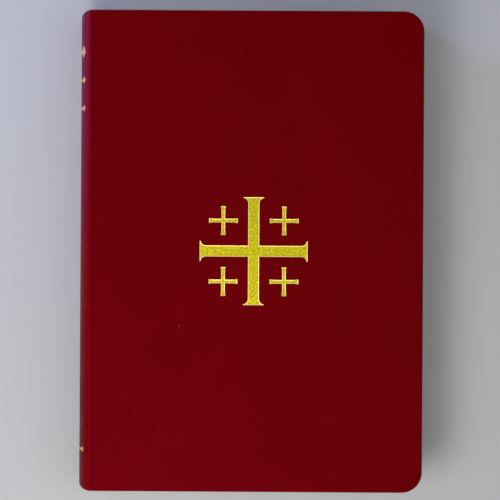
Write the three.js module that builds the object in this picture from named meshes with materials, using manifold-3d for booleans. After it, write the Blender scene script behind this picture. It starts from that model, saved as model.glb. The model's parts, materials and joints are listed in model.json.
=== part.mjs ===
// A small prayer book in a flexible red leather case with rounded corners.
//
// The book lies closed on its back cover. X runs from the spine to the fore-edge, Y towards the
// head of the book and Z up through the front cover. The origin is under the middle of the book,
// on the surface that the back cover rests on. All sizes are in millimetres.

import * as THREE from 'three';
import { mergeVertices } from 'three/addons/utils/BufferGeometryUtils.js';
import Module from 'manifold-3d';

const wasm = await Module();
wasm.setup();

// Case: the outside of the book.
const coverHeight = 160;
const coverWidth = 114.7;
const foreCornerRadius = 6.8;
const spineCornerRadius = 3;
const spineRounding = 4;

// Layers of a cover and of the spine.
const leather = 0.6;
const board = 1.3;
const endpaper = 0.25;
const stiffener = 0.5;
const hollowBack = 0.3;
const liningPaper = 0.25;
const mullCloth = 0.3;
const threadHeight = 0.35;
const glueLine = 0.05;
const spineGap = 0.1;

// Insides of the covers.
const turnIn = 12;
const turnInClearance = 0.3;
const pastedownBorder = 4;
const pastedownCornerRadius = 3;
const boardSetback = 1.2;

// Text block.
const sectionCount = 12;
const turningSections = 3;
const sectionThickness = 1.35;
const leafGap = 0.15;
const foldRounding = 2;
const foldBulge = 0.35;
const foreSquare = 3;
const headSquare = 2.5;
const pageCornerRadius = 5;

// Hinge lines.
const hingeClearance = 0.15;
const jointGap = 0.3;
const backHingeHeight = 0.8;

// Pieces on the back of the text block.
const liningInset = 1;
const mullInset = 9;
const blockEdgeInset = 0.8;
const threadStations = [-68, -41, -14, 14, 41, 68];
const threadWidth = 0.6;
const bandWidth = 1.2;
const bandHeight = 1.8;
const bandClearance = 0.1;
const capReach = 1.7;
const stiffenerFirstAngle = 40;

// Gold foil, pressed into the front cover.
const foil = 0.05;
const foilRecess = 0.12;
const foilClearance = 0.1;
const mainCross = { span: 35.8, arm: 3.65, end: 6.8, flare: 1.8, tip: 0.3 };
const smallCross = { span: 9.5, arm: 1.2, end: 1.5, flare: 1.5, tip: 0.5 };
const smallCrossOffset = 10.1;
const emblemX = 1;
const towardsSpine = emblemX - smallCrossOffset;
const towardsFore = emblemX + smallCrossOffset;
const crosses = [
  { name: 'cross_main', size: mainCross, x: emblemX, y: 0 },
  { name: 'cross_head_spine', size: smallCross, x: towardsSpine, y: smallCrossOffset },
  { name: 'cross_head_fore', size: smallCross, x: towardsFore, y: smallCrossOffset },
  { name: 'cross_tail_spine', size: smallCross, x: towardsSpine, y: -smallCrossOffset },
  { name: 'cross_tail_fore', size: smallCross, x: towardsFore, y: -smallCrossOffset },
];

// Gold foil across the spine: distance of each ornament from the middle of the spine, and sizes.
const ornaments = [
  { name: 'spine_ornament_head', y: 66.2, rule: 1.1, lozenge: 4.2 },
  { name: 'spine_ornament_upper', y: 56.7, rule: 0.8, lozenge: 2.4 },
  { name: 'spine_ornament_lower', y: 47.3, rule: 0.8, lozenge: 2.2 },
  { name: 'spine_ornament_tail', y: -66.2, rule: 0.8, lozenge: 2 },
];
const ornamentSpan = 21;
const foilLift = 0.02;

// Smoothness of the curves.
const spineSteps = 36;
const cornerSteps = 8;
const flareSteps = 5;
const backSteps = 12;
const foldSteps = 4;

// Sizes that follow from those above.
const coverThickness = 2 * leather + board + 2 * glueLine;
const staticSections = sectionCount - turningSections;
const endDepth = coverThickness + glueLine + endpaper + leafGap;
const blockThickness = 2 * endpaper + sectionCount * sectionThickness
  + (turningSections + 2) * leafGap + (staticSections - 1) * glueLine;
const bookThickness = blockThickness + 2 * endDepth;
const middle = bookThickness / 2;
const spineX = -coverWidth / 2;
const foreX = coverWidth / 2;
const headY = coverHeight / 2;
const shoulderX = spineX + spineRounding;
const boardX = shoulderX + boardSetback;
const pageHeadY = headY - headSquare;
const beyond = 10;

// The folds of the sections lie on an arc whose apex is behind the layers of the spine.
const spineStack = leather + spineGap + stiffener + hollowBack + liningPaper
  + glueLine + mullCloth + glueLine + threadHeight + spineGap;
const foldApexX = spineX + spineStack;
const foldRadius = ((blockThickness / 2) ** 2 + foldRounding ** 2) / (2 * foldRounding);
const foldCentreX = foldApexX + foldRadius;

function foldX(z) {
  return foldCentreX - Math.sqrt(foldRadius ** 2 - (z - middle) ** 2);
}

const pageWidth = foreX - foreSquare - foldX(middle + blockThickness / 2);
const turningDepth = endDepth + endpaper + turningSections * (sectionThickness + leafGap);
const frontHingeX = foldX(bookThickness - turningDepth) - hingeClearance;
const backHingeX = shoulderX - hingeClearance;
const spineLeatherBottom = 2 * backHingeHeight + jointGap;

const materials = {
  leather: new THREE.MeshStandardMaterial({ color: 0x6a0203, roughness: 0.5, metalness: 0 }),
  board: new THREE.MeshStandardMaterial({ color: 0x9b8f7a, roughness: 0.9, metalness: 0 }),
  endpaper: new THREE.MeshStandardMaterial({ color: 0xf1e9d4, roughness: 0.85, metalness: 0 }),
  paper: new THREE.MeshStandardMaterial({ color: 0xeee4c8, roughness: 0.9, metalness: 0 }),
  cloth: new THREE.MeshStandardMaterial({ color: 0xe2dcc9, roughness: 0.95, metalness: 0 }),
  thread: new THREE.MeshStandardMaterial({ color: 0xf3eedd, roughness: 0.8, metalness: 0 }),
  band: new THREE.MeshStandardMaterial({ color: 0xa01a1c, roughness: 0.7, metalness: 0 }),
  foil: new THREE.MeshStandardMaterial({ color: 0xcdb81e, roughness: 0.35, metalness: 1 }),
};

function toSolid(geometry) {
  const bare = geometry.clone();
  bare.deleteAttribute('normal');
  bare.deleteAttribute('uv');
  const merged = mergeVertices(bare);
  return new wasm.Manifold(new wasm.Mesh({
    numProp: 3,
    vertProperties: merged.attributes.position.array,
    triVerts: Uint32Array.from(merged.index.array),
  }));
}

function toGeometry(solid) {
  const mesh = solid.getMesh();
  const geometry = new THREE.BufferGeometry();
  geometry.setAttribute('position', new THREE.BufferAttribute(mesh.vertProperties, 3));
  geometry.setIndex(new THREE.BufferAttribute(mesh.triVerts, 1));
  geometry.computeVertexNormals();
  return geometry;
}

function addPiece(group, name, shape, material) {
  const geometry = shape.isBufferGeometry ? shape : toGeometry(shape);
  const mesh = new THREE.Mesh(geometry, material);
  mesh.name = name;
  group.add(mesh);
}

// A flat plate between two heights, from an outline in X and Y.
function plate(outline, low, high) {
  const settings = { depth: high - low, bevelEnabled: false, curveSegments: cornerSteps };
  return new THREE.ExtrudeGeometry(outline, settings).translate(0, 0, low);
}

// A prism along Y, from an outline in X and Z.
function prismAlongY(outline, low, high) {
  const settings = { depth: high - low, bevelEnabled: false };
  const geometry = new THREE.ExtrudeGeometry(outline, settings);
  return geometry.rotateX(Math.PI / 2).translate(0, high, 0);
}

// A prism along X, from an outline in Y and Z.
function prismAlongX(outline, low, high) {
  const settings = { depth: high - low, bevelEnabled: false };
  const turned = new THREE.Matrix4().makeBasis(
    new THREE.Vector3(0, 1, 0),
    new THREE.Vector3(0, 0, 1),
    new THREE.Vector3(1, 0, 0),
  );
  return new THREE.ExtrudeGeometry(outline, settings).applyMatrix4(turned).translate(low, 0, 0);
}

function block(lowX, highX, lowY, highY, lowZ, highZ) {
  const geometry = new THREE.BoxGeometry(highX - lowX, highY - lowY, highZ - lowZ);
  geometry.translate((lowX + highX) / 2, (lowY + highY) / 2, (lowZ + highZ) / 2);
  return toSolid(geometry);
}

// A rectangle with its own corner radius at the spine side and at the fore-edge side.
function roundedOutline(lowX, highX, halfHeight, spineRadius, foreRadius) {
  const outline = new THREE.Shape();
  const quarter = Math.PI / 2;
  outline.moveTo(lowX + spineRadius, -halfHeight);
  outline.lineTo(highX - foreRadius, -halfHeight);
  outline.absarc(highX - foreRadius, foreRadius - halfHeight, foreRadius, -quarter, 0);
  outline.lineTo(highX, halfHeight - foreRadius);
  outline.absarc(highX - foreRadius, halfHeight - foreRadius, foreRadius, 0, quarter);
  outline.lineTo(lowX + spineRadius, halfHeight);
  if (spineRadius > 0) {
    outline.absarc(lowX + spineRadius, halfHeight - spineRadius, spineRadius, quarter, 2 * quarter);
    outline.lineTo(lowX, spineRadius - halfHeight);
    outline.absarc(lowX + spineRadius, spineRadius - halfHeight, spineRadius, -2 * quarter, -quarter);
  } else {
    outline.lineTo(lowX, -halfHeight);
  }
  return outline;
}

// The outline of the closed book seen from above, moved in by an inset.
function footprint(inset) {
  return roundedOutline(
    spineX + inset,
    foreX - inset,
    headY - inset,
    spineCornerRadius - inset,
    foreCornerRadius - inset,
  );
}

// A point on the rounded spine, at an angle from the front cover and a depth under its face.
function spinePoint(angle, depth) {
  const x = shoulderX - (spineRounding - depth) * Math.sin(angle);
  const z = middle + (middle - depth) * Math.cos(angle);
  return new THREE.Vector2(x, z);
}

function spinePoints(depth, firstStep, lastStep) {
  const points = [];
  for (let step = firstStep; step <= lastStep; step += 1) {
    points.push(spinePoint(Math.PI * step / spineSteps, depth));
  }
  return points;
}

// The space inside the closed case, at a depth under its outer face.
function caseSolid(depth) {
  const section = new THREE.Shape([
    new THREE.Vector2(foreX - depth, depth),
    new THREE.Vector2(foreX - depth, bookThickness - depth),
    ...spinePoints(depth, 0, spineSteps),
  ]);
  const along = toSolid(prismAlongY(section, depth - headY, headY - depth));
  return along.intersect(toSolid(plate(footprint(depth), -beyond, bookThickness + beyond)));
}

// A sheet that follows the rounded spine between two depths under the face of the case.
function spineSheet(outerDepth, innerDepth, firstStep, lastStep, halfHeight) {
  const outer = spinePoints(outerDepth, firstStep, lastStep);
  const inner = spinePoints(innerDepth, firstStep, lastStep).reverse();
  return prismAlongY(new THREE.Shape([...outer, ...inner]), -halfHeight, halfHeight);
}

// A strip that follows the folds of the sections, between two distances behind them.
function foldStrip(nearFolds, farFromFolds, lowY, highY) {
  const halfBlock = blockThickness / 2 - blockEdgeInset;
  const reach = Math.asin(halfBlock / foldRadius);
  const points = [];
  for (const distance of [nearFolds, farFromFolds]) {
    const arc = [];
    for (let step = 0; step <= backSteps; step += 1) {
      const angle = reach * (1 - 2 * step / backSteps);
      const radius = foldRadius + distance;
      arc.push(new THREE.Vector2(
        foldCentreX - radius * Math.cos(angle),
        middle + radius * Math.sin(angle),
      ));
    }
    points.push(...(distance === nearFolds ? arc.reverse() : arc));
  }
  return prismAlongY(new THREE.Shape(points), lowY, highY);
}

// Heights of a layer that lies between two depths under the outer face of a cover.
function layer(side, outerDepth, innerDepth) {
  if (side === 'front') {
    return [bookThickness - innerDepth, bookThickness - outerDepth];
  }
  return [outerDepth, innerDepth];
}

// The leather of one cover: an outer sheet, wrapped round three edges and turned in.
function coverLeather(side, jointX) {
  const sheet = block(jointX, foreX + beyond, -headY, headY, ...layer(side, 0, coverThickness));
  const bay = block(
    jointX - beyond,
    foreX,
    -headY,
    headY,
    ...layer(side, 0, coverThickness - leather),
  );
  const windowOutline = roundedOutline(jointX - beyond, foreX - turnIn, headY - turnIn, 0, glueLine);
  const windowDepths = layer(side, leather, coverThickness + beyond);
  return caseSolid(0)
    .intersect(sheet)
    .subtract(caseSolid(leather).intersect(bay))
    .subtract(toSolid(plate(windowOutline, ...windowDepths)));
}

function coverBoard(side) {
  const depth = leather + glueLine;
  const outline = roundedOutline(boardX, foreX - depth, headY - depth, 0, foreCornerRadius - depth);
  return plate(outline, ...layer(side, depth, depth + board));
}

// The pastedown lies on the turned-in leather, and sinks to the board inside it.
function pastedown(side) {
  const face = coverThickness + glueLine;
  const boardFace = leather + glueLine + board + glueLine;
  const highX = foreX - pastedownBorder;
  const halfHeight = headY - pastedownBorder;
  const outline = roundedOutline(boardX, highX, halfHeight, 0, pastedownCornerRadius);
  const sunkX = foreX - turnIn - turnInClearance;
  const sunkY = headY - turnIn - turnInClearance;
  const around = toSolid(plate(outline, ...layer(side, face, face + endpaper)));
  const sunk = block(boardX, sunkX, -sunkY, sunkY, ...layer(side, boardFace, face + endpaper));
  const tray = block(
    boardX - beyond,
    sunkX - endpaper,
    endpaper - sunkY,
    sunkY - endpaper,
    ...layer(side, boardFace + endpaper, face + endpaper + beyond),
  );
  return around.add(sunk).subtract(tray);
}

// A stack of leaves between two heights, with a rounded fold and the curve of the fore-edge.
function leaves(low, high) {
  const centre = (low + high) / 2;
  const half = (high - low) / 2;
  const bulge = Math.min(foldBulge, half);
  const foldSide = [];
  const foreSide = [];
  for (let step = 0; step <= foldSteps; step += 1) {
    const place = 2 * step / foldSteps - 1;
    const z = centre + place * half;
    foreSide.push(new THREE.Vector2(foldX(z) + pageWidth, z));
    foldSide.push(new THREE.Vector2(foldX(z) + bulge * place ** 2, z));
  }
  const section = new THREE.Shape([...foreSide, ...foldSide.reverse()]);
  const edgeX = Math.max(foldX(low), foldX(high)) + pageWidth;
  const page = roundedOutline(spineX, edgeX, pageHeadY, 0, pageCornerRadius);
  return toSolid(prismAlongY(section, -pageHeadY, pageHeadY))
    .intersect(toSolid(plate(page, low - beyond, high + beyond)));
}

// The leather of the spine, turned in over both ends.
function spineLeather() {
  const wall = caseSolid(0).subtract(caseSolid(leather));
  const keep = block(
    spineX - beyond,
    frontHingeX - jointGap / 2,
    -headY,
    headY,
    spineLeatherBottom,
    bookThickness + beyond,
  );
  const way = block(
    spineX + capReach,
    foreX,
    -headY - beyond,
    headY + beyond,
    leather,
    bookThickness - leather,
  );
  const open = way.intersect(toSolid(prismAlongY(
    new THREE.Shape(spinePoints(leather, 0, spineSteps)),
    -headY - beyond,
    headY + beyond,
  )));
  return wall.intersect(keep).subtract(open);
}

function spineStiffener() {
  const firstStep = Math.round(spineSteps * stiffenerFirstAngle / 180);
  const depth = leather + spineGap;
  const sheet = spineSheet(depth, depth + stiffener, firstStep, spineSteps - firstStep, headY);
  return toSolid(sheet).intersect(toSolid(plate(footprint(depth), 0, bookThickness)));
}

// A cross with four equal arms whose ends flare out to flat tips.
function crossOutline({ span, arm, end, flare, tip }) {
  const reach = span / 2;
  const curve = new THREE.QuadraticBezierCurve(
    new THREE.Vector2(reach - tip - flare, arm / 2),
    new THREE.Vector2(reach - tip, arm / 2),
    new THREE.Vector2(reach - tip, end / 2),
  );
  const upper = [...curve.getPoints(flareSteps), new THREE.Vector2(reach, end / 2)];
  const lower = upper.map((point) => new THREE.Vector2(point.x, -point.y));
  const armPoints = [...lower, ...upper.reverse(), new THREE.Vector2(arm / 2, arm / 2)];
  const centre = new THREE.Vector2(0, 0);
  const points = [];
  for (let quarter = 0; quarter < 4; quarter += 1) {
    const angle = quarter * Math.PI / 2;
    points.push(...armPoints.map((point) => point.clone().rotateAround(centre, angle)));
  }
  return new THREE.Shape(points);
}

// The plate of one cross, or with a clearance the recess that it is pressed into.
function crossPlate({ size, x, y }, clearance, low, high) {
  const grown = {
    span: size.span + 2 * clearance,
    arm: size.arm + 2 * clearance,
    end: size.end + 2 * clearance,
    flare: size.flare,
    tip: size.tip + 2 * clearance,
  };
  return plate(crossOutline(grown), low, high).translate(x, y, 0);
}

// A rule across the spine with a lozenge in its middle and one at each end.
function spineOrnament({ y, rule, lozenge }) {
  const neck = (lozenge - rule) / 2;
  const crest = ornamentSpan / 2 - neck;
  const side = [-crest, 0, crest].flatMap((height) => [
    new THREE.Vector2(rule / 2, height - neck),
    new THREE.Vector2(lozenge / 2, height),
    new THREE.Vector2(rule / 2, height + neck),
  ]);
  const otherSide = side.map((point) => new THREE.Vector2(-point.x, point.y)).reverse();
  const place = new THREE.Vector2(y, middle);
  const outline = new THREE.Shape([...side, ...otherSide].map((point) => point.add(place)));
  const film = toSolid(spineSheet(-foilLift - foil, -foilLift, 1, spineSteps - 1, headY));
  return film.intersect(toSolid(prismAlongX(outline, spineX - beyond, shoulderX)));
}

function frontCover() {
  const cover = new THREE.Group();
  const recessFloor = bookThickness - foilRecess;
  let skin = coverLeather('front', frontHingeX + jointGap / 2);
  for (const cross of crosses) {
    const recess = crossPlate(cross, foilClearance, recessFloor, bookThickness + beyond);
    skin = skin.subtract(toSolid(recess));
    const film = crossPlate(cross, 0, recessFloor, recessFloor + foil);
    addPiece(cover, cross.name, film, materials.foil);
  }
  addPiece(cover, 'front_leather', skin, materials.leather);
  addPiece(cover, 'front_board', coverBoard('front'), materials.board);
  addPiece(cover, 'front_pastedown', pastedown('front'), materials.endpaper);
  return cover;
}

function backCover() {
  const cover = new THREE.Group();
  const skin = coverLeather('back', backHingeX + jointGap / 2);
  addPiece(cover, 'back_leather', skin, materials.leather);
  addPiece(cover, 'back_board', coverBoard('back'), materials.board);
  addPiece(cover, 'back_pastedown', pastedown('back'), materials.endpaper);
  return cover;
}

function textBlock() {
  const pages = new THREE.Group();
  let top = bookThickness - endDepth;
  addPiece(pages, 'front_flyleaf', leaves(top - endpaper, top), materials.endpaper);
  top -= endpaper + leafGap;
  for (let number = 1; number <= sectionCount; number += 1) {
    const name = `section_${String(number).padStart(2, '0')}`;
    addPiece(pages, name, leaves(top - sectionThickness, top), materials.paper);
    const loose = number <= turningSections || number === sectionCount;
    top -= sectionThickness + (loose ? leafGap : glueLine);
  }
  addPiece(pages, 'back_flyleaf', leaves(top - endpaper, top), materials.endpaper);
  return pages;
}

function spine() {
  const back = new THREE.Group();
  const threadFace = spineGap + threadHeight;
  const mullFace = threadFace + glueLine + mullCloth;
  const liningFace = mullFace + glueLine + liningPaper;
  threadStations.forEach((y, index) => {
    const thread = foldStrip(spineGap, threadFace, y - threadWidth / 2, y + threadWidth / 2);
    addPiece(back, `sewing_thread_${index + 1}`, thread, materials.thread);
  });
  const mullY = pageHeadY - mullInset;
  const liningY = pageHeadY - liningInset;
  addPiece(back, 'mull_cloth', foldStrip(threadFace + glueLine, mullFace, -mullY, mullY), materials.cloth);
  const lining = foldStrip(mullFace + glueLine, liningFace, -liningY, liningY);
  addPiece(back, 'spine_lining', lining, materials.paper);
  const bandY = pageHeadY + bandClearance;
  addPiece(back, 'headband', foldStrip(-bandWidth, 0, bandY, bandY + bandHeight), materials.band);
  addPiece(back, 'tailband', foldStrip(-bandWidth, 0, -bandY - bandHeight, -bandY), materials.band);
  addPiece(back, 'spine_stiffener', spineStiffener(), materials.board);
  addPiece(back, 'spine_leather', spineLeather(), materials.leather);
  for (const ornament of ornaments) {
    addPiece(back, ornament.name, spineOrnament(ornament), materials.foil);
  }
  return back;
}

const prayerBook = new THREE.Group();
prayerBook.add(frontCover(), textBlock(), spine(), backCover());

export default prayerBook;
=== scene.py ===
import json
import math
import random

import bmesh
import bpy
from bpy.props import FloatProperty, FloatVectorProperty, IntProperty, PointerProperty
from mathutils import Matrix, Vector


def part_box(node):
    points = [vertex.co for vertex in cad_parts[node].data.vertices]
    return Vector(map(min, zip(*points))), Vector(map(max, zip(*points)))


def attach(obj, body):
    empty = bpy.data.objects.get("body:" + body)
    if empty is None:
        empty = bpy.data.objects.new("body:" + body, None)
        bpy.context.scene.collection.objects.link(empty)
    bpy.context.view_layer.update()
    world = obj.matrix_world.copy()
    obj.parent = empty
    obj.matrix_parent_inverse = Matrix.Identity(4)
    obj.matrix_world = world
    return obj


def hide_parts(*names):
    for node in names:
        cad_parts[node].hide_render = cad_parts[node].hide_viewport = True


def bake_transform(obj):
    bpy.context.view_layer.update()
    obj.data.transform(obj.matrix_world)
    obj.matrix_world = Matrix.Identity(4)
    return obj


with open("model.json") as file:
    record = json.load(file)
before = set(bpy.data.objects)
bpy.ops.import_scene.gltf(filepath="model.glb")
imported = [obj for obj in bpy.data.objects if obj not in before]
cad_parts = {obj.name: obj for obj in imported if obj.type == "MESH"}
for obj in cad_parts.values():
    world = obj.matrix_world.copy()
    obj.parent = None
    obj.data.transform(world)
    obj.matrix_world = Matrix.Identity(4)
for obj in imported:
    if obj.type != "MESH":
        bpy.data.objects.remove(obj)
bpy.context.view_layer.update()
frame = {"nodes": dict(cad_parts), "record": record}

bl_info = {
    "name": "Prayer Book",
    "version": (1, 0, 0),
    "blender": (4, 5, 0),
    "location": "View3D > Sidebar > Prayer Book",
    "description": "Binds a small prayer book in red leather around its fixed frame",
    "category": "Add Mesh",
}

# Places in the frame, in metres. A box is its lowest and its highest corner.
LOW, HIGH = 0, 1
front_low, front_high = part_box("front_leather")
back_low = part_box("back_leather")[LOW]
spine_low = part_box("spine_leather")[LOW]
board_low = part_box("front_board")[LOW]
pastedown_low, pastedown_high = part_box("front_pastedown")
flyleaf_low, flyleaf_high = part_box("front_flyleaf")
headband_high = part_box("headband")[HIGH]

BOOK_TOP = front_high.z
MIDDLE = BOOK_TOP / 2
HEAD_Y = front_high.y
FORE_X = front_high.x
SPINE_X = spine_low.x
SHOULDER_X = back_low.x
SPINE_ROUNDING = SHOULDER_X - SPINE_X
COVER = front_high.z - front_low.z
PAGE_HEAD_Y = flyleaf_high.y
TINY = 1e-6
FLAT = 0.999
SMOOTH_ANGLE = math.radians(50)

SECTIONS = sorted(name for name in frame["nodes"] if name.startswith("section_"))
THREADS = sorted(name for name in frame["nodes"] if name.startswith("sewing_thread_"))
CROSSES = sorted(name for name in frame["nodes"] if name.startswith("cross_"))
ORNAMENTS = sorted(name for name in frame["nodes"] if name.startswith("spine_ornament_"))
BODY_OF = {
    node: body
    for body, nodes in frame["record"]["behaviour"]["bodies"].items()
    for node in nodes
}

# The arc that the folds of the sections lie on.
FOLD_APEX_X = min(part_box(name)[LOW].x for name in SECTIONS)
FOLD_END_X = flyleaf_low.x
HALF_BLOCK = flyleaf_high.z - MIDDLE
FOLD_SAG = FOLD_END_X - FOLD_APEX_X
FOLD_RADIUS = (HALF_BLOCK ** 2 + FOLD_SAG ** 2) / (2 * FOLD_SAG)
FOLD_CENTRE_X = FOLD_APEX_X + FOLD_RADIUS
PAGE_WIDTH = flyleaf_high.x - FOLD_END_X

# How finely bends are divided.
FOLD_STEPS = 7
BEND_COLUMNS = 24
FLAT_COLUMNS = 2
CORNER_STEPS = 5
PASTED_CORNER_STEPS = 6
FLARE_STEPS = 7
BAND_SIDES = 12
BAND_STEPS = 72
JOINT_COLUMNS = 12

# How much of an arm's flare the flat middle of a foil cross follows.
INNER_FLARE = 0.35


def length_property(name, description, default):
    return FloatProperty(
        name=name,
        description=description,
        default=default,
        min=0.0,
        precision=5,
        unit="LENGTH",
    )


def colour_property(name, description, default):
    return FloatVectorProperty(
        name=name,
        description=description,
        default=default,
        size=3,
        min=0.0,
        max=1.0,
        subtype="COLOR",
    )


class CaseSettings(bpy.types.PropertyGroup):
    leather: length_property("Leather", "Thickness of the covering leather", 0.0006)
    corner: length_property("Corner", "Radius of the fore-edge corners", 0.0068)
    rim: length_property("Rim", "Roundness of the wrapped edges", 0.0011)
    ridge: length_property("Ridge", "Height of the ridge along the joint", 0.0002)
    ridge_width: length_property("Ridge width", "Width of the ridge along the joint", 0.0018)
    turn_in: length_property("Turn-in", "Width of the leather turned in over the board", 0.012)
    cap_drop: length_property("Cap drop", "How far the ends of the spine are drawn in", 0.0014)
    cap_reach: length_property("Cap reach", "How far from the spine its ends begin to draw in", 0.006)
    corner_steps: IntProperty(
        name="Corner steps",
        description="Number of steps round a fore-edge corner",
        default=16,
        min=1,
    )
    rim_steps: IntProperty(
        name="Rim steps",
        description="Number of steps round a wrapped edge",
        default=6,
        min=1,
    )
    spine_steps: IntProperty(
        name="Spine steps",
        description="Number of steps round the spine",
        default=44,
        min=8,
    )
    length_cuts: IntProperty(
        name="Length cuts",
        description="Number of cuts along the longest edges",
        default=11,
        min=1,
    )
    red: colour_property("Red", "Colour of the leather", (0.138, 0.0002, 0.0003))
    dark_red: colour_property("Dark red", "Colour of the leather's pores", (0.095, 0.0001, 0.0002))
    # This lighter colour is partly real rubbing on the rims and partly a painted highlight on the rims
    # and the joint ridge.
    rubbed_and_highlit_red: colour_property("Rubbed and highlit red", "Colour where it is rubbed or painted lighter as a highlight", (0.185, 0.0008, 0.0015))
    # This colour is a painted reflection: the bluish tint of cool light reflected on the spine's
    # rounding.
    painted_reflection_red: colour_property("Painted reflection red", "Colour of the bluish reflection painted on the spine", (0.105, 0.001, 0.016))
    dust: colour_property("Dust", "Colour of the specks of dust", (0.62, 0.34, 0.28))
    gloss: colour_property("Gloss", "Tint of the leather's gloss", (1.0, 0.05, 0.34))


class LeafSettings(bpy.types.PropertyGroup):
    sheets: IntProperty(
        name="Sheets",
        description="Folded sheets in a section",
        default=8,
        min=1,
    )
    fill: FloatProperty(
        name="Fill",
        description="Share of a leaf's room that its paper takes",
        default=0.88,
        min=0.1,
        max=1.0,
        subtype="FACTOR",
    )
    corner: length_property("Corner", "Radius of the page corners", 0.005)
    curl: length_property("Curl", "Width of page that bends out of the gutter", 0.0065)
    fold_bend: length_property("Fold bend", "How far into the fold the bend reaches", 0.0004)
    unevenness: length_property("Unevenness", "How far the trimmed edges wander", 0.00006)
    endpaper: length_property("Endpaper", "Thickness of the endpapers", 0.0002)
    endpaper_corner: length_property("Endpaper corner", "Radius of the pasted corners", 0.003)
    verge: length_property("Verge", "Width of the step from the turned-in leather to the board", 0.0004)
    joint_start: length_property("Joint start", "Where the pasted sheet's bend begins", 0.0001)
    joint_reach: length_property("Joint reach", "How far past the board's edge that bend goes", 0.0006)
    cream: colour_property("Cream", "Colour of the page paper", (0.80, 0.72, 0.54))
    ivory: colour_property("Ivory", "Colour of the endpapers", (0.82, 0.76, 0.62))


class MainCrossSettings(bpy.types.PropertyGroup):
    arm: length_property("Arm", "Width of an arm", 0.00365)
    end: length_property("End", "Width of an arm's flared end", 0.0068)
    flare: length_property("Flare", "Length of the flare", 0.0018)
    tip: length_property("Tip", "Length of the straight tip", 0.0003)
    rim: length_property("Rim", "Width of the bright rim", 0.00024)


class SmallCrossSettings(bpy.types.PropertyGroup):
    arm: length_property("Arm", "Width of an arm", 0.0012)
    end: length_property("End", "Width of an arm's flared end", 0.0015)
    flare: length_property("Flare", "Length of the flare", 0.0015)
    tip: length_property("Tip", "Length of the straight tip", 0.0005)
    rim: length_property("Rim", "Width of the bright rim", 0.00022)


class TrimSettings(bpy.types.PropertyGroup):
    foil: length_property("Foil", "Thickness of the foil", 0.00004)
    foil_lift: length_property("Foil lift", "Height of the foil over the cover", 0.00002)
    band_radius: length_property("Band radius", "Radius of the end bands", 0.00062)
    band_gap: length_property("Band gap", "Room between the pages and the bands", 0.0001)
    thread_pitch: length_property("Thread pitch", "Width of a strand of the thread", 0.00025)
    mull_pitch: length_property("Mull pitch", "Distance from thread to thread in the mull", 0.0008)
    gold: colour_property("Gold", "Colour of the foil", (0.36, 0.31, 0.002))
    pale_gold: colour_property("Pale gold", "Colour of the foil's grain", (0.90, 0.78, 0.006))
    # This paler gold on the foil's rim is a painted highlight.
    painted_highlight_gold: colour_property("Painted highlight gold", "Colour of the foil's edges, painted paler as a highlight", (1.0, 0.76, 0.24))
    rose_gold: colour_property("Rose gold", "Colour of the worn foil on the spine", (0.66, 0.40, 0.14))
    pale_rose: colour_property("Pale rose", "Colour of the worn foil's grain", (0.92, 0.64, 0.28))
    band_red: colour_property("Band red", "First colour of the end bands", (0.35, 0.012, 0.015))
    band_cream: colour_property("Band cream", "Second colour of the end bands", (0.78, 0.70, 0.52))
    board: colour_property("Board", "Colour of the boards", (0.33, 0.28, 0.20))
    linen: colour_property("Linen", "Colour of the cloth and the thread", (0.74, 0.69, 0.57))


class StageSettings(bpy.types.PropertyGroup):
    camera_distance: length_property("Distance", "From the front cover to the camera", 0.622)
    lens: FloatProperty(
        name="Lens",
        description="Focal length of the camera, in millimetres",
        default=135.0,
        min=10.0,
    )
    roll: FloatProperty(
        name="Roll",
        description="Turn of the camera about its own axis",
        default=math.radians(0.35),
        subtype="ANGLE",
    )
    floor_reach: length_property("Floor reach", "From the middle of the floor to its edge", 8.0)
    floor: colour_property("Floor", "Colour of the floor", (0.46, 0.47, 0.48))
    sky: colour_property("Sky", "Colour of the light from all round", (0.9, 0.94, 1.0))
    sky_strength: FloatProperty(
        name="Sky strength",
        description="Strength of the light from all round",
        default=0.36,
        min=0.0,
    )
    warm_light: colour_property("Warm light", "Colour of the key light", (1.0, 0.97, 0.93))
    soft_light: colour_property("Soft light", "Colour of the fill light", (1.0, 0.98, 0.96))
    daylight: colour_property("Daylight", "Colour of the cool side light", (0.52, 0.54, 1.0))


# The camera stands almost over the middle of the book; its sensor's width is in millimetres.
CAMERA_X = -0.0002
CAMERA_Y = 0.0004
SENSOR_WIDTH = 36.0


# Small tools for meshes.


def finish_piece(name, bm, material, smooth_angle=None):
    """Turns a bmesh into a named object with its material."""
    mesh = bpy.data.meshes.new(name)
    bm.to_mesh(mesh)
    bm.free()
    mesh.materials.append(material)
    piece = bpy.data.objects.new(name, mesh)
    bpy.context.scene.collection.objects.link(piece)
    if smooth_angle is not None:
        mesh.shade_smooth()
        mesh.set_sharp_from_angle(angle=smooth_angle)
    return piece


def refinish(name, material):
    """Gives a node that keeps its shape its material."""
    node = frame["nodes"][name]
    node.data.materials.clear()
    node.data.materials.append(material)


def add_thickness(piece, thickness):
    """Gives a sheet its thickness, all of it under the sheet."""
    modifier = piece.modifiers.new("Thickness", "SOLIDIFY")
    modifier.thickness = thickness
    modifier.offset = -1


def thicken(bm, thickness):
    """Gives an open sheet its thickness, half on each side."""
    bmesh.ops.recalc_face_normals(bm, faces=bm.faces[:])
    bm.normal_update()
    normals = [vert.normal.copy() for vert in bm.verts]
    for vert, normal in zip(bm.verts, normals):
        vert.co -= normal * thickness / 2
    bmesh.ops.solidify(bm, geom=bm.faces[:], thickness=thickness)
    bmesh.ops.recalc_face_normals(bm, faces=bm.faces[:])


def cut_across(bm, axis, places):
    """Cuts the mesh across an axis at each place, so that it can bend there."""
    normal = Vector((0, 0, 0))
    normal[axis] = 1
    for place in places:
        point = normal * place
        geometry = bm.verts[:] + bm.edges[:] + bm.faces[:]
        bmesh.ops.bisect_plane(bm, geom=geometry, dist=TINY, plane_co=point, plane_no=normal)


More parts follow.
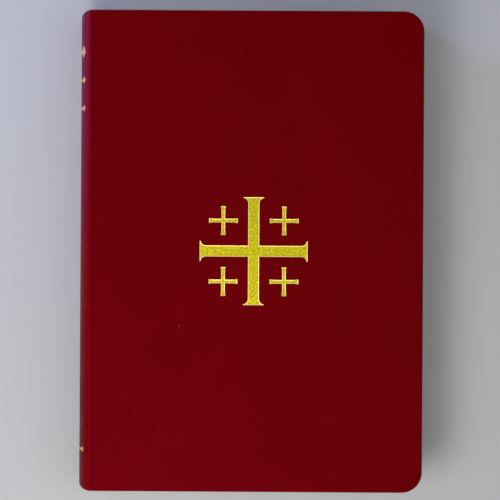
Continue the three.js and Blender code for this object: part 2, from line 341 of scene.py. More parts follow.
def round_off(bm, geom, radius, segments, affect="EDGES"):
    """Rounds edges, or the corners of a sheet when it affects vertices."""
    bmesh.ops.bevel(
        bm,
        geom=geom,
        offset=radius,
        offset_type="OFFSET",
        segments=segments,
        profile=0.5,
        affect=affect,
        material=-1,
    )


def sheet_across(bm, points, half_height):
    """Makes a sheet from a line of points by drawing it out along Y; returns its two edges' vertices."""
    verts = [bm.verts.new((point[0], -half_height, point[1])) for point in points]
    edges = [bm.edges.new(pair) for pair in zip(verts, verts[1:])]
    moved, _ = extrude_edges(bm, edges)
    bmesh.ops.translate(bm, vec=(0, 2 * half_height, 0), verts=moved)
    return verts + moved


def extrude_edges(bm, edges):
    """Extrudes edges and returns the new vertices and the new outer edges."""
    made = bmesh.ops.extrude_edge_only(bm, edges=edges)["geom"]
    verts = [item for item in made if isinstance(item, bmesh.types.BMVert)]
    known = set(verts)
    outer = [
        item
        for item in made
        if isinstance(item, bmesh.types.BMEdge) and set(item.verts) <= known
    ]
    return verts, outer


def spread(first, last, count):
    """Places from first to last, both included."""
    return [first + (last - first) * step / (count - 1) for step in range(count)]


def fold_x(z):
    """How far towards the spine the folds reach at a height."""
    return FOLD_CENTRE_X - math.sqrt(FOLD_RADIUS ** 2 - (z - MIDDLE) ** 2)


# Materials. The scale of a texture counts its cells to the metre.


class Surface:
    """A material under construction: its nodes, with object coordinates to start from."""

    def __init__(self, name, roughness, specular):
        self.material = bpy.data.materials.new(name)
        self.material.use_nodes = True
        self.nodes = self.material.node_tree.nodes
        self.links = self.material.node_tree.links
        self.shader = self.nodes["Principled BSDF"]
        self.shader.inputs["Roughness"].default_value = roughness
        self.shader.inputs["Specular IOR Level"].default_value = specular
        self.place = self.nodes.new("ShaderNodeTexCoord").outputs["Object"]

    def attribute(self, name):
        """A number that the piece's own mesh carries."""
        node = self.nodes.new("ShaderNodeAttribute")
        node.attribute_name = name
        return node.outputs["Fac"]

    def stretched(self, scale):
        mapping = self.nodes.new("ShaderNodeMapping")
        mapping.inputs["Scale"].default_value = scale
        self.links.new(self.place, mapping.inputs["Vector"])
        return mapping.outputs["Vector"]

    def noise(self, scale, detail=2.0, roughness=0.5, place=None):
        texture = self.nodes.new("ShaderNodeTexNoise")
        texture.inputs["Scale"].default_value = scale
        texture.inputs["Detail"].default_value = detail
        texture.inputs["Roughness"].default_value = roughness
        self.links.new(place or self.place, texture.inputs["Vector"])
        return texture.outputs["Fac"]

    def cells(self, scale):
        texture = self.nodes.new("ShaderNodeTexVoronoi")
        texture.inputs["Scale"].default_value = scale
        self.links.new(self.place, texture.inputs["Vector"])
        return texture.outputs["Distance"]

    def bands(self, scale, axis, distortion=0.0):
        texture = self.nodes.new("ShaderNodeTexWave")
        texture.bands_direction = axis
        texture.inputs["Scale"].default_value = scale
        texture.inputs["Distortion"].default_value = distortion
        self.links.new(self.place, texture.inputs["Vector"])
        return texture.outputs["Fac"]

    def fit(self, value, low, high, new_low, new_high):
        ranged = self.nodes.new("ShaderNodeMapRange")
        limits = {"From Min": low, "From Max": high, "To Min": new_low, "To Max": new_high}
        for socket, number in limits.items():
            ranged.inputs[socket].default_value = number
        self.links.new(value, ranged.inputs["Value"])
        return ranged.outputs["Result"]

    def maths(self, operation, first, second):
        node = self.nodes.new("ShaderNodeMath")
        node.operation = operation
        for socket, value in zip(node.inputs, (first, second)):
            if isinstance(value, (int, float)):
                socket.default_value = value
            else:
                self.links.new(value, socket)
        return node.outputs["Value"]

    def mix(self, share, first, second):
        node = self.nodes.new("ShaderNodeMix")
        node.data_type = "RGBA"
        self.links.new(share, node.inputs["Factor"])
        colours = [socket for socket in node.inputs if socket.type == "RGBA"]
        for socket, value in zip(colours, (first, second)):
            if isinstance(value, bpy.types.NodeSocket):
                self.links.new(value, socket)
            else:
                socket.default_value = (*value, 1.0)
        return next(socket for socket in node.outputs if socket.type == "RGBA")

    def colour(self, value):
        self.links.new(value, self.shader.inputs["Base Color"])

    def roughness(self, value):
        self.links.new(value, self.shader.inputs["Roughness"])

    def bump(self, height, distance, strength=1.0, under=None):
        node = self.nodes.new("ShaderNodeBump")
        node.inputs["Distance"].default_value = distance
        node.inputs["Strength"].default_value = strength
        self.links.new(height, node.inputs["Height"])
        if under is not None:
            self.links.new(under, node.inputs["Normal"])
        return node.outputs["Normal"]

    def normal(self, value):
        self.links.new(value, self.shader.inputs["Normal"])
        return self.material


def leather_material(settings):
    """Red leatherette: fine pebbled grain, faint clouding, a bluish reflection painted on the spine,
    rims rubbed and painted lighter as a highlight, a highlight painted on the joint ridge, specks of
    dust.
    """
    surface = Surface("red_leather", 0.5, 0.085)
    surface.shader.inputs["Specular Tint"].default_value = (*settings.gloss, 1.0)
    pebbles = surface.cells(2300.0)
    clouds = surface.noise(55.0, detail=3.0)
    mottle = surface.noise(420.0, detail=2.0)
    clouded = surface.fit(clouds, 0.3, 0.7, 0.0, 0.35)
    pores = surface.fit(pebbles, 0.25, 0.75, 0.0, 0.45)
    tone = surface.mix(clouded, settings.red, settings.dark_red)
    tone = surface.mix(pores, tone, settings.dark_red)
    dust_cells = surface.cells(260.0)
    dust_chance = surface.noise(190.0, detail=0.0)
    dust_near = surface.fit(dust_cells, 0.035, 0.055, 1.0, 0.0)
    dust_here = surface.fit(dust_chance, 0.68, 0.71, 0.0, 0.22)
    dust = surface.maths("MULTIPLY", dust_near, dust_here)
    # Painted reflection: a bluish tint on the spine's rounding, most near the head.
    tone = surface.mix(surface.attribute("painted_reflection"), tone, settings.painted_reflection_red)
    # Rims: rubbed wear plus a painted highlight. Joint ridge: a painted highlight, lighter towards the
    # tail.
    patchy = surface.fit(surface.noise(700.0, detail=3.0), 0.3, 0.6, 0.5, 1.0)
    rubbed_and_highlit_here = surface.maths("MULTIPLY", surface.attribute("wear"), patchy)
    tone = surface.mix(rubbed_and_highlit_here, tone, settings.rubbed_and_highlit_red)
    surface.colour(surface.mix(dust, tone, settings.dust))
    surface.roughness(surface.fit(mottle, 0.3, 0.7, 0.44, 0.60))
    swell = surface.bump(clouds, 0.0004, 0.25)
    grain = surface.bump(pebbles, 0.00006, 0.55, under=swell)
    return surface.normal(surface.bump(surface.noise(6500.0, detail=1.0), 0.00002, 0.4, under=grain))


def foil_material(name, gold, pale, under, wear):
    """Hot-pressed foil with the grain of the leather showing through, worn here and there."""
    surface = Surface(name, 0.42, 0.5)
    surface.shader.inputs["Metallic"].default_value = 0.75
    grain = surface.noise(1500.0, detail=3.0, roughness=0.75)
    cloud = surface.noise(300.0, detail=2.0)
    tone = surface.mix(surface.fit(grain, 0.38, 0.66, 0.0, 1.0), gold, pale)
    tone = surface.mix(surface.fit(cloud, 0.35, 0.65, 0.0, 0.35), tone, gold)
    worn = surface.fit(surface.noise(1500.0, detail=4.0, roughness=0.8), 0.5, 0.62, 0.0, wear)
    surface.colour(surface.mix(worn, tone, under))
    surface.roughness(surface.fit(cloud, 0.3, 0.7, 0.38, 0.52))
    return surface.normal(surface.bump(grain, 0.00005, 0.8))


def paper_material(name, colour, speck):
    """Uncoated book paper with soft fibres, darker in places by the share that speck gives."""
    surface = Surface(name, 0.85, 0.25)
    fibres = surface.noise(900.0, detail=4.0, roughness=0.7, place=surface.stretched((1.0, 0.35, 1.0)))
    clouds = surface.noise(35.0, detail=2.0)
    darker = tuple(channel * speck for channel in colour)
    tone = surface.mix(surface.fit(fibres, 0.35, 0.7, 0.0, 0.5), colour, darker)
    surface.colour(surface.mix(surface.fit(clouds, 0.3, 0.7, 0.0, 0.3), tone, darker))
    surface.roughness(surface.fit(fibres, 0.3, 0.7, 0.78, 0.92))
    return surface.normal(surface.bump(fibres, 0.00002, 0.35))


def board_material(settings):
    """Grey-brown binder's board with flecks of fibre."""
    surface = Surface("binders_board", 0.9, 0.2)
    flecks = surface.noise(1400.0, detail=4.0, roughness=0.75)
    clouds = surface.noise(60.0, detail=2.0)
    darker = tuple(channel * 0.55 for channel in settings.board)
    tone = surface.mix(surface.fit(flecks, 0.4, 0.7, 0.0, 0.7), settings.board, darker)
    surface.colour(surface.mix(surface.fit(clouds, 0.3, 0.7, 0.0, 0.25), tone, darker))
    surface.roughness(surface.fit(flecks, 0.3, 0.7, 0.82, 0.95))
    return surface.normal(surface.bump(flecks, 0.00005, 0.5))


def woven_material(name, colour, pitch):
    """A plain weave with threads along Y and Z, one pitch apart."""
    surface = Surface(name, 0.9, 0.2)
    warp = surface.bands(0.5 / pitch, "Y")
    weft = surface.bands(0.5 / pitch, "Z")
    weave = surface.maths("MULTIPLY", warp, weft)
    fuzz = surface.noise(2500.0, detail=3.0)
    darker = tuple(channel * 0.5 for channel in colour)
    surface.colour(surface.mix(surface.fit(weave, 0.0, 0.6, 0.0, 1.0), darker, colour))
    surface.roughness(surface.fit(fuzz, 0.3, 0.7, 0.82, 0.95))
    return surface.normal(surface.bump(weave, 0.00012, 0.8))


def band_material(settings):
    """Silk wrapped round a cord, in stripes of red and cream."""
    surface = Surface("end_band_silk", 0.55, 0.3)
    surface.shader.inputs["Sheen Weight"].default_value = 0.25
    stripes = surface.bands(180.0, "Z")
    silk = surface.bands(1400.0, "Z", distortion=0.4)
    share = surface.fit(stripes, 0.46, 0.54, 0.0, 1.0)
    tone = surface.mix(share, settings.band_red, settings.band_cream)
    shaded = surface.mix(surface.fit(silk, 0.0, 0.5, 0.35, 0.0), tone, (0.05, 0.01, 0.01))
    surface.colour(shaded)
    surface.roughness(surface.fit(silk, 0.0, 1.0, 0.6, 0.45))
    return surface.normal(surface.bump(silk, 0.00008, 0.7))


def floor_material(settings):
    """A plain pale table top."""
    surface = Surface("pale_floor", 0.7, 0.2)
    surface.shader.inputs["Base Color"].default_value = (*settings.floor, 1.0)
    return surface.material


# The case: leather skins over the boards.


def spine_frame(angle):
    """The place and turn of the leather at an angle round the spine, from the front cover."""
    x = SHOULDER_X - SPINE_ROUNDING * math.sin(angle)
    z = MIDDLE * math.cos(angle)
    lean = math.atan2(math.sin(angle) / SPINE_ROUNDING, math.cos(angle) / MIDDLE)
    return Matrix.Translation((x, 0, z)) @ Matrix.Rotation(-lean, 4, "Y")


def wrapped_cover(bm, settings):
    """A cover with its outer face on top, wrapped round three edges and open to the spine."""
    size = (FORE_X - SHOULDER_X, 2 * HEAD_Y, COVER)
    centre = ((FORE_X + SHOULDER_X) / 2, 0, MIDDLE - COVER / 2)
    verts = bmesh.ops.create_cube(bm, size=1)["verts"]
    bmesh.ops.scale(bm, vec=size, verts=verts)
    bmesh.ops.translate(bm, vec=centre, verts=verts)
    corners = [
        edge
        for edge in bm.edges
        if all(vert.co.x > FORE_X - TINY for vert in edge.verts)
        and abs(edge.verts[0].co.y - edge.verts[1].co.y) < TINY
    ]
    round_off(bm, corners, settings.corner, settings.corner_steps)
    ends = [face for face in bm.faces if face.calc_center_median().x < SHOULDER_X + TINY]
    bmesh.ops.delete(bm, geom=ends, context="FACES_ONLY")
    rims = [
        edge
        for edge in bm.edges
        if not edge.is_boundary and abs(edge.verts[0].co.z - edge.verts[1].co.z) < TINY
    ]
    round_off(bm, rims, settings.rim, settings.rim_steps)
    outside = [face for face in bm.faces if face.normal.z > FLAT]
    bmesh.ops.inset_region(bm, faces=outside, thickness=settings.rim / 2, use_boundary=False)
    under = [face for face in bm.faces if face.normal.z < -FLAT]
    window = settings.turn_in - settings.rim
    bmesh.ops.inset_region(bm, faces=under, thickness=window, use_boundary=False)
    bmesh.ops.delete(bm, geom=under, context="FACES")


def wrap_spine(bm, settings, last_angle, steps):
    """Carries the leather on from the edge of the cover round the spine, as far as an angle."""
    edges = [
        edge
        for edge in bm.edges
        if edge.is_boundary
        and all(vert.co.x < SHOULDER_X + TINY for vert in edge.verts)
        and all(vert.co.z > MIDDLE - settings.rim - TINY for vert in edge.verts)
    ]
    before = spine_frame(0.0)
    for step in range(1, steps + 1):
        verts, edges = extrude_edges(bm, edges)
        now = spine_frame(last_angle * step / steps)
        bmesh.ops.transform(bm, matrix=now @ before.inverted(), verts=verts)
        before = now


def raise_ridge(bm, settings, height):
    """Raises a soft ridge along the joint, less towards the head, and marks the rims as rubbed and
    painted lighter as a highlight, and the ridge as painted lighter as a highlight.
    """
    rim_wear_and_highlight = 0.6
    head_share = 0.2
    wear = bm.verts.layers.float.new("wear")
    for vert in bm.verts:
        depth = MIDDLE - vert.co.z
        if depth > settings.rim:
            continue
        # Rims: rubbed wear plus a painted highlight, lightest partway round the rounded edge.
        vert[wear] = rim_wear_and_highlight * math.sin(math.pi * max(depth, 0.0) / settings.rim)
        share = (vert.co.x - SHOULDER_X) / (settings.ridge_width / 2)
        if abs(share) < 1:
            towards_tail = 0.5 - vert.co.y / (2 * HEAD_Y)
            along = head_share + (1 - head_share) * towards_tail
            ridge = along * math.cos(share * math.pi / 2) ** 2
            # Ridge: a painted highlight where light would catch the ridge, lighter towards the tail.
            vert[wear] = ridge
            vert.co.z += height * ridge


def paint_spine_reflection(bm, settings):
    """Marks where a bluish reflection is painted on the spine's rounding: most near the head, not at all
    near the tail.
    """
    edge_x = SHOULDER_X + 0.3 * settings.ridge_width
    first_y = -0.2 * HEAD_Y
    last_y = 0.6 * HEAD_Y
    # Mask of the reflection painted on the spine.
    painted_reflection = bm.verts.layers.float.new("painted_reflection")
    for vert in bm.verts:
        across = (edge_x - vert.co.x) / settings.ridge_width
        along = (vert.co.y - first_y) / (last_y - first_y)
        across, along = (min(max(share, 0.0), 1.0) for share in (across, along))
        vert[painted_reflection] = across * along * along * (3 - 2 * along)


def draw_in_ends(bm, settings):
    """Rounds the head and the tail of the spine."""
    for vert in bm.verts:
        share = (SPINE_X + settings.cap_reach - vert.co.x) / settings.cap_reach
        share = min(max(share, 0.0), 1.0)
        drop = settings.cap_drop * (1 - math.sqrt(1 - share ** 2))
        vert.co.y *= 1 - drop / HEAD_Y


def case_skin(settings, last_angle, steps, ridge):
    """The leather of one cover, and of the spine as far as an angle round it."""
    bm = bmesh.new()
    wrapped_cover(bm, settings)
    wrap_spine(bm, settings, last_angle, steps)
    first_x = SHOULDER_X + settings.ridge_width / JOINT_COLUMNS
    cut_across(bm, 0, spread(first_x, SHOULDER_X + settings.ridge_width, JOINT_COLUMNS))
    bmesh.ops.remove_doubles(bm, verts=bm.verts[:], dist=TINY)
    long_edges = [edge for edge in bm.edges if edge.calc_length() > HEAD_Y]
    bmesh.ops.subdivide_edges(bm, edges=long_edges, cuts=settings.length_cuts)
    raise_ridge(bm, settings, ridge)
    draw_in_ends(bm, settings)
    paint_spine_reflection(bm, settings)
    bmesh.ops.recalc_face_normals(bm, faces=bm.faces[:])
    return bm


class PRAYERBOOK_OT_case(bpy.types.Operator):
    """Cover the boards and the spine with leather"""

    bl_idname = "prayerbook.case"
    bl_label = "Leather Case"

    def execute(self, context):
        settings = context.scene.prayerbook_case
        leather = leather_material(settings)
        seam = math.acos((spine_low.z - MIDDLE) / MIDDLE)

        bm = case_skin(settings, seam, settings.spine_steps, settings.ridge)
        bmesh.ops.translate(bm, vec=(0, 0, MIDDLE), verts=bm.verts[:])
        front = finish_piece("front_and_spine_leather", bm, leather, SMOOTH_ANGLE)
        add_thickness(front, settings.leather)
        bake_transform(front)
        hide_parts("front_leather", "spine_leather")

        steps = max(3, round(settings.spine_steps * (math.pi - seam) / seam))
        bm = case_skin(settings, math.pi - seam, steps, 0.0)
        turn = Matrix.Translation((0, 0, MIDDLE)) @ Matrix.Rotation(math.pi, 4, "X")
        bmesh.ops.transform(bm, matrix=turn, verts=bm.verts[:])
        back = finish_piece("back_cover_leather", bm, leather, SMOOTH_ANGLE)
        add_thickness(back, settings.leather)
        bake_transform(back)
        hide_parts("back_leather")
        return {"FINISHED"}


class PRAYERBOOK_OT_boards(bpy.types.Operator):
    """Finish the boards, the stiffener, the lining and the sewing threads"""

    bl_idname = "prayerbook.boards"
    bl_label = "Boards and Sewing"

    def execute(self, context):
        trim = context.scene.prayerbook_trim
        leaves = context.scene.prayerbook_leaves
        board = board_material(trim)
        for name in ("front_board", "back_board", "spine_stiffener"):
            refinish(name, board)
        refinish("spine_lining", paper_material("lining_paper", leaves.cream, 0.8))
        thread = woven_material("linen_thread", trim.linen, trim.thread_pitch)
        for name in THREADS:
            refinish(name, thread)
        return {"FINISHED"}


# The text block.


def leaf_columns(first_x, last_x, bend, columns):
    """Places across a leaf: close together in its bend, and one just past it to keep the rest flat."""
    past_bend = first_x + 1.1 * bend
    return spread(first_x, first_x + bend, columns) + [past_bend, last_x]


def folded_sheet(bm, top, bottom, centre_x, widths, settings, columns):
    """One folded sheet: its upper leaf, the fold and its lower leaf, with rounded page corners."""
    half = (top - bottom) / 2
    middle = (top + bottom) / 2
    wander = [random.uniform(-1, 1) * settings.unevenness for _ in range(2)]
    upper = leaf_columns(centre_x, widths[0] + wander[0], settings.curl, columns)
    lower = leaf_columns(centre_x, widths[1] + wander[1], settings.curl, columns)
    points = [(x, top) for x in reversed(upper)]
    for angle in spread(0, math.pi, FOLD_STEPS)[1:-1]:
        points.append((centre_x - half * math.sin(angle), middle + half * math.cos(angle)))
    points.extend((x, bottom) for x in lower)
    height = PAGE_HEAD_Y - random.uniform(0, 1) * settings.unevenness
    verts = sheet_across(bm, points, height)
    fore_edge = min(widths) - 2 * settings.unevenness - TINY
    tips = [vert for vert in verts if vert.co.x > fore_edge]
    round_off(bm, tips, settings.corner, CORNER_STEPS, "VERTICES")


def section_piece(name, settings, material, turning):
    """A sewn section of nested folded sheets."""
    low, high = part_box(name)
    room = (high.z - low.z) / (2 * settings.sheets)
    middle = (low.z + high.z) / 2
    fold_centre_x = fold_x(middle) + (high.z - low.z) / 2
    columns = BEND_COLUMNS if turning else FLAT_COLUMNS
    bm = bmesh.new()
    for number in range(settings.sheets):
        top = high.z - (number + 0.5) * room
        bottom = low.z + (number + 0.5) * room
        widths = (fold_x(top) + PAGE_WIDTH, fold_x(bottom) + PAGE_WIDTH)
        folded_sheet(bm, top, bottom, fold_centre_x, widths, settings, columns)
    thicken(bm, room * settings.fill)
    piece = finish_piece(f"{name}_leaves", bm, material, SMOOTH_ANGLE)
    if turning:
        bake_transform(piece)
    else:
        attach(piece, BODY_OF[name])
    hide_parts(name)


def flyleaf_piece(name, settings, material):
    """The free half of an endpaper."""
    low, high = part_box(name)
    z = (low.z + high.z) / 2
    bm = bmesh.new()
    points = [(x, z) for x in leaf_columns(low.x, high.x, settings.curl, BEND_COLUMNS)]
    verts = sheet_across(bm, points, PAGE_HEAD_Y)
    tips = [vert for vert in verts if vert.co.x > high.x - TINY]
    round_off(bm, tips, settings.corner, CORNER_STEPS, "VERTICES")
    thicken(bm, settings.endpaper)
    piece = finish_piece(f"{name}_sheet", bm, material, SMOOTH_ANGLE)
    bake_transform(piece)
    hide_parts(name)


class PRAYERBOOK_OT_leaves(bpy.types.Operator):
    """Fold and gather the leaves of the text block"""

    bl_idname = "prayerbook.leaves"
    bl_label = "Leaves"

    def execute(self, context):
        settings = context.scene.prayerbook_leaves
        random.seed(12)
        page = paper_material("page_paper", settings.cream, 0.9)
        ivory = paper_material("endpaper", settings.ivory, 0.92)
        for name in SECTIONS:
            section_piece(name, settings, page, BODY_OF[name] != "text_block")
        for name in ("front_flyleaf", "back_flyleaf"):
            flyleaf_piece(name, settings, ivory)
        return {"FINISHED"}


def pastedown_sheet(settings, case):
    """The pasted half of an endpaper: over the turned-in leather, then down onto the board."""
    over = pastedown_low.z + settings.endpaper / 2
    sunk = pastedown_high.z - settings.endpaper / 2
    gutter = Vector((FOLD_END_X, 0, flyleaf_high.z + settings.endpaper / 2))
    sunk_x = FORE_X - case.turn_in - settings.verge
    sunk_y = HEAD_Y - case.turn_in - settings.verge
    bm = bmesh.new()
    points = [(gutter.x, over), (pastedown_high.x, over)]
    verts = sheet_across(bm, points, pastedown_high.y)
    tips = [vert for vert in verts if vert.co.x > pastedown_high.x - TINY]
    round_off(bm, tips, settings.endpaper_corner, PASTED_CORNER_STEPS, "VERTICES")
    cut_across(bm, 0, [sunk_x, sunk_x + settings.verge])
    cut_across(bm, 1, [-sunk_y - settings.verge, -sunk_y, sunk_y, sunk_y + settings.verge])
    joint_end = board_low.x + settings.joint_reach
    cut_across(bm, 0, spread(gutter.x + settings.joint_start, joint_end, JOINT_COLUMNS))
    for vert in bm.verts:
        inside = vert.co.x < sunk_x + TINY and abs(vert.co.y) < sunk_y + TINY
        height = sunk if inside else over
        share = min(1.0, (vert.co.x - gutter.x) / (board_low.x - gutter.x))
        vert.co.z = gutter.z + (height - gutter.z) * share
    thicken(bm, settings.endpaper)
    return bm


class PRAYERBOOK_OT_pastedowns(bpy.types.Operator):
    """Paste the endpapers onto the insides of the covers"""

    bl_idname = "prayerbook.pastedowns"
    bl_label = "Pastedowns"

    def execute(self, context):
        settings = context.scene.prayerbook_leaves
        case = context.scene.prayerbook_case
        ivory = paper_material("pastedown_paper", settings.ivory, 0.92)
        over = Matrix.Translation((0, 0, BOOK_TOP)) @ Matrix.Rotation(math.pi, 4, "X")
        for side in ("front", "back"):
            bm = pastedown_sheet(settings, case)
            if side == "back":
                bmesh.ops.transform(bm, matrix=over, verts=bm.verts[:])
            piece = finish_piece(f"{side}_pastedown_sheet", bm, ivory, SMOOTH_ANGLE)
            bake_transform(piece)
            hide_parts(f"{side}_pastedown")
        return {"FINISHED"}


def end_band(settings, side):
    """A cord wound with silk, bent along the folds at one end of the pages."""
    radius = settings.band_radius
    reach = math.asin((headband_high.z - MIDDLE) / FOLD_RADIUS)
    centre = Vector((FOLD_CENTRE_X, 0, MIDDLE))
    y = side * (PAGE_HEAD_Y + settings.band_gap + radius)
    bm = bmesh.new()
    ring = bmesh.ops.create_circle(bm, segments=BAND_SIDES, radius=radius)["verts"]
    start = centre + Vector((-(FOLD_RADIUS - radius), y, 0))
    bmesh.ops.translate(bm, vec=start, verts=ring)
    turn = Matrix.Rotation(reach, 4, "Y")
    bmesh.ops.rotate(bm, cent=centre, matrix=turn, verts=ring)
    bmesh.ops.spin(
        bm,
        geom=ring + bm.edges[:],
        cent=centre,
        axis=(0, 1, 0),
        angle=-2 * reach,
        steps=BAND_STEPS,
        use_duplicate=False,
    )
    bmesh.ops.holes_fill(bm, edges=[edge for edge in bm.edges if edge.is_boundary])
    bmesh.ops.recalc_face_normals(bm, faces=bm.faces[:])
    return bm


class PRAYERBOOK_OT_bands(bpy.types.Operator):
    """Sew the headband and the tailband, and lay the mull on the folds"""

    bl_idname = "prayerbook.bands"
    bl_label = "Bands and Mull"

    def execute(self, context):
        settings = context.scene.prayerbook_trim
        silk = band_material(settings)
        for name, side in (("headband", 1), ("tailband", -1)):
            bm = end_band(settings, side)
            piece = finish_piece(f"{name}_cord", bm, silk, SMOOTH_ANGLE)
            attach(piece, "text_block")
            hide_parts(name)
        refinish("mull_cloth", woven_material("mull_weave", settings.linen, settings.mull_pitch))
        return {"FINISHED"}


# Gold foil.


def cross_loop(bm, span, arm, end, shape):
    """Makes the closed outline of a cross with four equal arms that flare out to straight tips."""
    flare_start = span / 2 - shape.tip - shape.flare
    upper = []
    for angle in spread(0, math.pi / 2, FLARE_STEPS):
        x = flare_start + shape.flare * math.sin(angle)
        upper.append(Vector((x, end / 2 - (end - arm) / 2 * math.cos(angle), 0)))
    upper.append(Vector((span / 2, end / 2, 0)))
    lower = [Vector((point.x, -point.y, 0)) for point in upper]
    arm_points = lower + upper[::-1] + [Vector((arm / 2, arm / 2, 0))]
    verts = []
    for quarter in range(4):
        turn = Matrix.Rotation(quarter * math.pi / 2, 3, "Z")
        verts.extend(bm.verts.new(turn @ point) for point in arm_points)
    edges = [bm.edges.new(pair) for pair in zip(verts, verts[1:] + verts[:1])]
    return verts, edges


def cross_piece(name, foil, painted_highlight_foil, shape, trim):
    """A foil cross pressed a little into the leather, with a turned-up rim painted brighter as a
    highlight.
    """
    low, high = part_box(name)
    centre = Vector(((low.x + high.x) / 2, (low.y + high.y) / 2, BOOK_TOP + trim.foil_lift))
    span = high.x - low.x
    inner_end = shape.arm + (shape.end - shape.arm) * INNER_FLARE
    bm = bmesh.new()
    outer, outer_edges = cross_loop(bm, span, shape.arm, shape.end, shape)
    inner, inner_edges = cross_loop(
        bm, span - 2 * shape.rim, shape.arm - 2 * shape.rim, inner_end, shape
    )
    bridge = bmesh.ops.bridge_loops(bm, edges=outer_edges + inner_edges)["faces"]
    # The rim faces take the second material, whose paler gold is a painted highlight.
    for face in bridge:
        face.material_index = 1
    middle = bm.faces.new(inner)
    bmesh.ops.translate(bm, vec=(0, 0, trim.foil), verts=outer)
    bmesh.ops.translate(bm, vec=centre, verts=bm.verts[:])
    bmesh.ops.recalc_face_normals(bm, faces=bm.faces[:])
    if middle.normal.z < 0:
        bmesh.ops.reverse_faces(bm, faces=bm.faces[:])
    piece = finish_piece(f"{name}_foil", bm, foil)
    piece.data.materials.append(painted_highlight_foil)
    add_thickness(piece, trim.foil)
    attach(piece, "front_cover")
    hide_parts(name)


class PRAYERBOOK_OT_foil(bpy.types.Operator):
    """Press the gold foil into the front cover and across the spine"""

    bl_idname = "prayerbook.foil"
    bl_label = "Gold Foil"

    def execute(self, context):
        trim = context.scene.prayerbook_trim
        main_cross = context.scene.prayerbook_main_cross
        small_cross = context.scene.prayerbook_small_cross
        gold = foil_material("gold_foil", trim.gold, trim.pale_gold, trim.gold, 0.0)
        # The rim's paler gold is a painted highlight.
        rim = foil_material("gold_foil_painted_highlight", trim.painted_highlight_gold, trim.painted_highlight_gold, trim.gold, 0.3)
        worn = foil_material("worn_foil", trim.rose_gold, trim.pale_rose, trim.band_red, 0.6)
        for name in CROSSES:
            shape = main_cross if name == "cross_main" else small_cross
            cross_piece(name, gold, rim, shape, trim)
        for name in ORNAMENTS:
            refinish(name, worn)
        return {"FINISHED"}


# The stage.


def area_light(name, place, target, side, power, colour, beam=math.pi):
    """A square soft box at a place, aimed at a target, with its light held to a beam."""
    light = bpy.data.lights.new(name, "AREA")
    light.shape = "RECTANGLE"
    light.spread = beam
    light.size = side
    light.size_y = side
    light.energy = power
    light.color = colour
    lamp = bpy.data.objects.new(name, light)
    lamp.location = place
    aim = Vector(target) - Vector(place)
    lamp.rotation_euler = aim.to_track_quat("-Z", "Y").to_euler()
    bpy.context.scene.collection.objects.link(lamp)


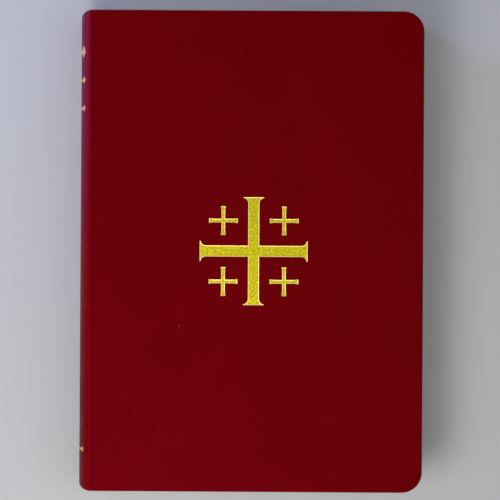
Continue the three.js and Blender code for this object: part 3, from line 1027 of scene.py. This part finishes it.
class PRAYERBOOK_OT_stage(bpy.types.Operator):
    """Set up the floor, the lights and the camera"""

    bl_idname = "prayerbook.stage"
    bl_label = "Stage"

    def execute(self, context):
        scene = context.scene
        settings = scene.prayerbook_stage
        bm = bmesh.new()
        bmesh.ops.create_grid(bm, x_segments=1, y_segments=1, size=settings.floor_reach)
        floor = finish_piece("floor", bm, floor_material(settings))

        world = bpy.data.worlds.new("studio")
        world.use_nodes = True
        background = world.node_tree.nodes["Background"]
        background.inputs["Color"].default_value = (*settings.sky, 1.0)
        background.inputs["Strength"].default_value = settings.sky_strength
        scene.world = world

        area_light(
            "key_light",
            place=(-0.13, -0.17, 0.33),
            target=(-0.02, -0.04, 0),
            side=0.2,
            power=1.0,
            colour=settings.warm_light,
        )
        area_light(
            "fill_light",
            place=(0.5, -0.1, 0.8),
            target=(0, 0, 0),
            side=0.7,
            power=1.6,
            colour=settings.soft_light,
        )
        area_light(
            "window_light",
            place=(-0.32, 0.19, 0.07),
            target=(-0.057, 0.065, 0.014),
            side=0.12,
            power=0.15,
            colour=settings.daylight,
            beam=math.radians(55),
        )

        camera = bpy.data.cameras.new("camera")
        camera.lens = settings.lens
        camera.sensor_width = SENSOR_WIDTH
        viewer = bpy.data.objects.new("camera", camera)
        viewer.location = (CAMERA_X, CAMERA_Y, BOOK_TOP + settings.camera_distance)
        viewer.rotation_euler = (0, 0, settings.roll)
        scene.collection.objects.link(viewer)
        scene.camera = viewer
        scene.view_settings.view_transform = "Standard"
        return {"FINISHED"}


class PRAYERBOOK_PT_sidebar(bpy.types.Panel):
    """Lists the pieces of the prayer book and their sizes"""

    bl_idname = "PRAYERBOOK_PT_sidebar"
    bl_label = "Prayer Book"
    bl_space_type = "VIEW_3D"
    bl_region_type = "UI"
    bl_category = "Prayer Book"

    def draw(self, context):
        layout = self.layout
        for operator in OPERATORS:
            layout.operator(operator.bl_idname)
        for name, group in GROUPS.items():
            settings = getattr(context.scene, name)
            box = layout.box()
            for field in group.__annotations__:
                box.prop(settings, field)


OPERATORS = (
    PRAYERBOOK_OT_stage,
    PRAYERBOOK_OT_case,
    PRAYERBOOK_OT_boards,
    PRAYERBOOK_OT_pastedowns,
    PRAYERBOOK_OT_leaves,
    PRAYERBOOK_OT_bands,
    PRAYERBOOK_OT_foil,
)
GROUPS = {
    "prayerbook_case": CaseSettings,
    "prayerbook_leaves": LeafSettings,
    "prayerbook_trim": TrimSettings,
    "prayerbook_main_cross": MainCrossSettings,
    "prayerbook_small_cross": SmallCrossSettings,
    "prayerbook_stage": StageSettings,
}


def register():
    for name, group in GROUPS.items():
        bpy.utils.register_class(group)
        setattr(bpy.types.Scene, name, PointerProperty(type=group))
    for operator in OPERATORS:
        bpy.utils.register_class(operator)
    bpy.utils.register_class(PRAYERBOOK_PT_sidebar)


def unregister():
    bpy.utils.unregister_class(PRAYERBOOK_PT_sidebar)
    for operator in reversed(OPERATORS):
        bpy.utils.unregister_class(operator)
    for name, group in GROUPS.items():
        delattr(bpy.types.Scene, name)
        bpy.utils.unregister_class(group)


def main():
    register()
    bpy.ops.prayerbook.stage()
    bpy.ops.prayerbook.case()
    bpy.ops.prayerbook.boards()
    bpy.ops.prayerbook.pastedowns()
    bpy.ops.prayerbook.leaves()
    bpy.ops.prayerbook.bands()
    bpy.ops.prayerbook.foil()


if __name__ == "__main__":
    main()
